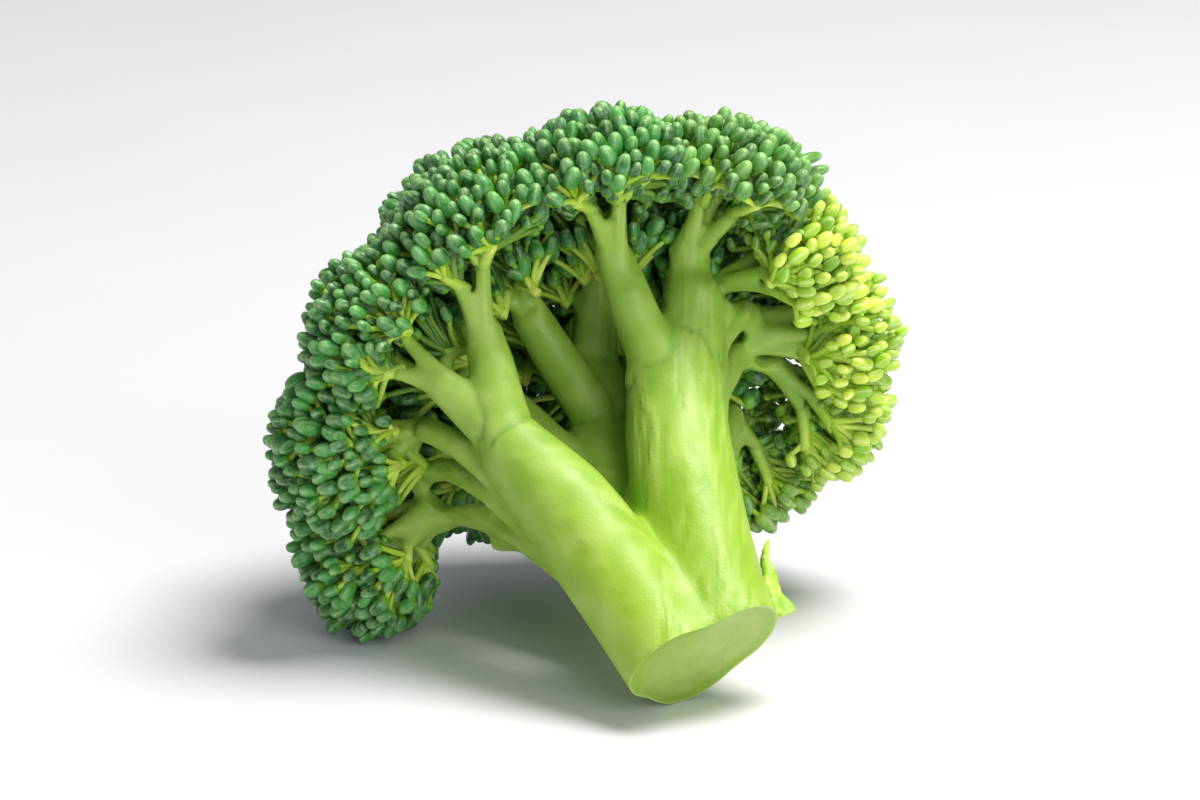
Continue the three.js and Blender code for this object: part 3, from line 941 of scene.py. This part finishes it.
def cut_stalk(mesh):
    """The knife cut: everything past it is sliced off. The open end gets a slightly sunken face, as
    rings that shrink towards its middle."""
    bm = bmesh.new()
    bm.from_mesh(mesh)
    near_rim = bm.verts.layers.float.new("rim")
    sliced = bmesh.ops.bisect_plane(bm, geom=bm.verts[:] + bm.edges[:] + bm.faces[:], clear_outer=True,
                                    plane_co=Vector(cut_middle), plane_no=Vector(cut_normal))
    edge_loop = [e for e in sliced["geom_cut"] if isinstance(e, bmesh.types.BMEdge)]
    outline = loop_of(edge_loop)
    for edge in edge_loop:
        edge.smooth = False
    middle = sum((v.co for v in outline), Vector()) / len(outline)
    outer = outline
    for size in CUT_RINGS:
        sink = Vector(cut_normal) * -CUT_SINK * (1 - size ** 5)
        inner = [bm.verts.new(middle + (v.co - middle) * size + sink) for v in outline]
        for i, vert in enumerate(inner):
            vert[near_rim] = math.exp((size - 1) / RIM_FADE)
            before = i - 1
            face = bm.faces.new((outer[before], outer[i], inner[i], inner[before]))
            face.material_index = 1
        outer = inner
    bm.faces.new(outer).material_index = 1
    for vert in outline:
        vert[near_rim] = 1
    bm.to_mesh(mesh)
    bm.free()


def way_from_cut(points, edges, lengths):
    """How far each point is from the cut, along the skin."""
    beside = [[] for _ in range(len(points))]
    for (a, b), length in zip(edges.tolist(), lengths.tolist()):
        beside[a].append((b, length))
        beside[b].append((a, length))
    start = np.flatnonzero(np.abs((points - cut_middle) @ cut_normal) < 0.05 * MM)
    far = np.full(len(points), LONGEST_WAY)
    far[start] = 0
    queue = [(0.0, int(i)) for i in start]
    heapq.heapify(queue)
    while queue:
        here, i = heapq.heappop(queue)
        if here > far[i]:
            continue
        for j, length in beside[i]:
            if here + length < far[j]:
                far[j] = here + length
                heapq.heappush(queue, (far[j], j))
    return far


def paint_stalk(mesh):
    """Works out what the skin's material reads: how far each point is along its limb, and streaks
    that follow the limbs."""
    points, edges = points_of(mesh), edges_of(mesh)
    lengths = np.linalg.norm(points[edges[:, 0]] - points[edges[:, 1]], axis=1)
    even = np.ones(len(edges))
    far = spread_values(way_from_cut(points, edges, lengths), edges, even, 20)
    rise = np.abs(far[edges[:, 0]] - far[edges[:, 1]]) / np.maximum(lengths, 1e-7)
    streak = spread_values(rng.uniform(0, 1, len(points)), edges, np.clip(rise, 0, 1) ** 6 + 0.004, 60)
    streak = spread_values(streak, edges, even, 1)
    low, high = np.percentile(streak, [2, 98])
    set_values(mesh, "along", far / FULL_WAY)
    set_values(mesh, "streak", np.clip((streak - low) / (high - low), 0, 1))


# ---- The leaf scrap ----

def grow_leaf_scrap():
    """The torn strip of leaf: the frame's strip, thinner at its torn edges, waved and ribbed."""
    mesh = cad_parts["leaf_scrap"].data
    low, high = points_of(mesh).min(0), points_of(mesh).max(0)
    skin = skin_over(points_of(mesh).tolist(), triangles_of(mesh).tolist(), LEAF_VOXEL)
    points = relax(points_of(skin), edges_of(skin), np.full(len(skin.vertices), 0.4), 6)
    move_points(skin, points)
    height = (points[:, 2] - low[2]) / (high[2] - low[2])
    wave = np.sin(height * 9 + points[:, 0] / (2.2 * MM)) * 0.55 + np.sin(height * 23) * 0.25
    rib = np.abs(np.sin(points[:, 0] / (0.9 * MM) + height * 4)) * 0.22
    _, face_normal = flat_end(mesh)
    move_points(skin, points + face_normal * ((wave * height + rib) * MM)[:, None])
    keep_piece("leaf_scrap_torn", skin, [LEAF], "leaf_scrap")


for floret in florets:
    grow_floret(floret)
grow_stalk()
grow_leaf_scrap()


# ---- Floor, light and camera ----

def place_floor():
    mesh = bpy.data.meshes.new("floor")
    size = 4.0
    corners = [(-size, -size, 0), (size, -size, 0), (size, size, 0), (-size, size, 0)]
    mesh.from_pydata(corners, [], [(0, 1, 2, 3)])
    floor = bpy.data.objects.new("floor", mesh)
    bpy.context.scene.collection.objects.link(floor)
    mesh.materials.append(matt_white_paper())


def place_light(name, at, towards, size, power, colour):
    lamp = bpy.data.lights.new(name, "AREA")
    lamp.shape, lamp.size, lamp.energy, lamp.color = "DISK", size, power, srgb(colour)[:3]
    obj = bpy.data.objects.new(name, lamp)
    obj.location = at
    obj.rotation_euler = (Vector(towards) - Vector(at)).to_track_quat("-Z", "Y").to_euler()
    bpy.context.scene.collection.objects.link(obj)


def place_lights():
    middle = (0, 0, 0.04)
    place_light("softbox_above", (0.32, 0.0, 0.92), middle, 0.5, 12, "fffdf6")
    place_light("softbox_front", (0.42, -0.86, 0.42), middle, 0.7, 4.2, "ffffff")
    world = bpy.data.worlds.new("studio")
    world.use_nodes = True
    world.node_tree.nodes["Background"].inputs["Color"].default_value = srgb("f4f6fb")
    world.node_tree.nodes["Background"].inputs["Strength"].default_value = 0.33
    bpy.context.scene.world = world


def place_camera():
    camera = bpy.data.cameras.new("camera")
    camera.lens, camera.sensor_width = LENS, 36.0
    camera.clip_start, camera.clip_end = 0.05, 20
    obj = bpy.data.objects.new("camera", camera)
    obj.location = Vector(CAMERA_AT)
    obj.rotation_euler = Vector(LOOKS_AT - CAMERA_AT).to_track_quat("-Z", "Y").to_euler()
    bpy.context.scene.collection.objects.link(obj)
    bpy.context.scene.camera = obj


place_floor()
place_lights()
place_camera()
bpy.context.scene.view_settings.view_transform = "Standard"
